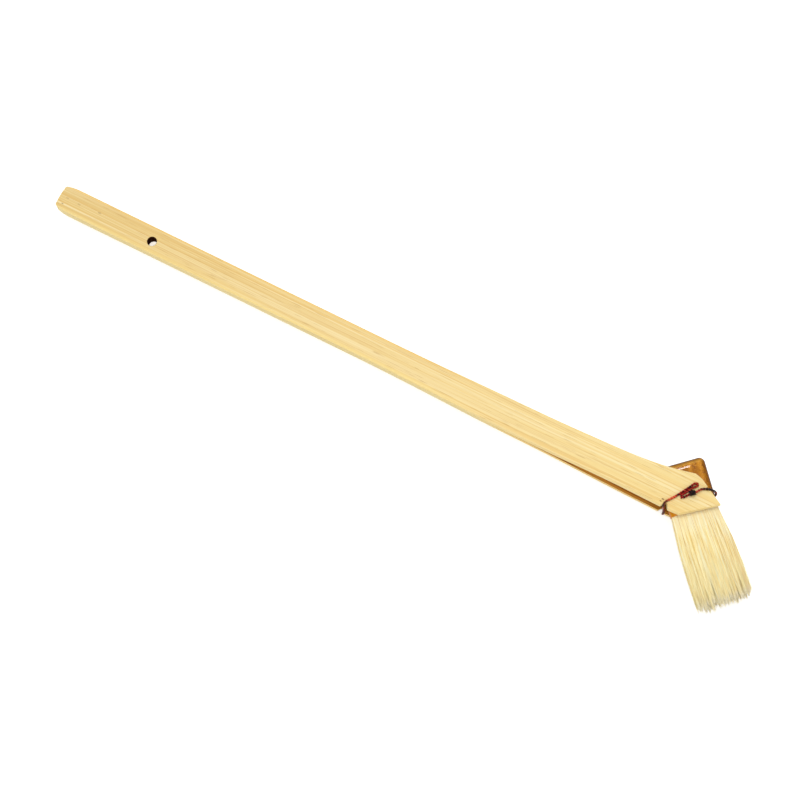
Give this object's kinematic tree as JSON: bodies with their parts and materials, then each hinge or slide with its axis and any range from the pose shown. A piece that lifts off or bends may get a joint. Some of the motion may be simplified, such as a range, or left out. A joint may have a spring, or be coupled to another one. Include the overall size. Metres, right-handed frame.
{
  "type": "angled flat hair brush",
  "caption": "Flat square-tipped hair brush set at an angle in a gold-brown metal sleeve, clamped between the split tongues of a long bamboo strip and bound with copper wire.",
  "frame": {"origin": "under the middle of the whole brush's box, level with the lowest point, which is the wire on the back face", "axes": "+X along the handle from the hanging hole to the head, +Z out of the front face where the wire is closed, +Y across the strip, away from the side the hair points to"},
  "size_m": [0.3238, 0.0548, 0.0144],
  "materials": {
    "bamboo": "scraped bare bamboo, lightly polished",
    "lacquered_sleeve": "thin sheet metal under a glossy gold-brown lacquer",
    "pale_hair": "straight pale animal hair, soft sheen",
    "set_glue": "set glue, hidden inside the sleeve",
    "enamelled_wire": "dark red enamel on soft copper, glossy"
  },
  "bodies": {
    "root": {"bamboo_handle": "bamboo", "ferrule": "lacquered_sleeve", "hair_tuft": "pale_hair", "root_glue": "set_glue", "binding_wire": "enamelled_wire"}
  },
  "joints": []
}
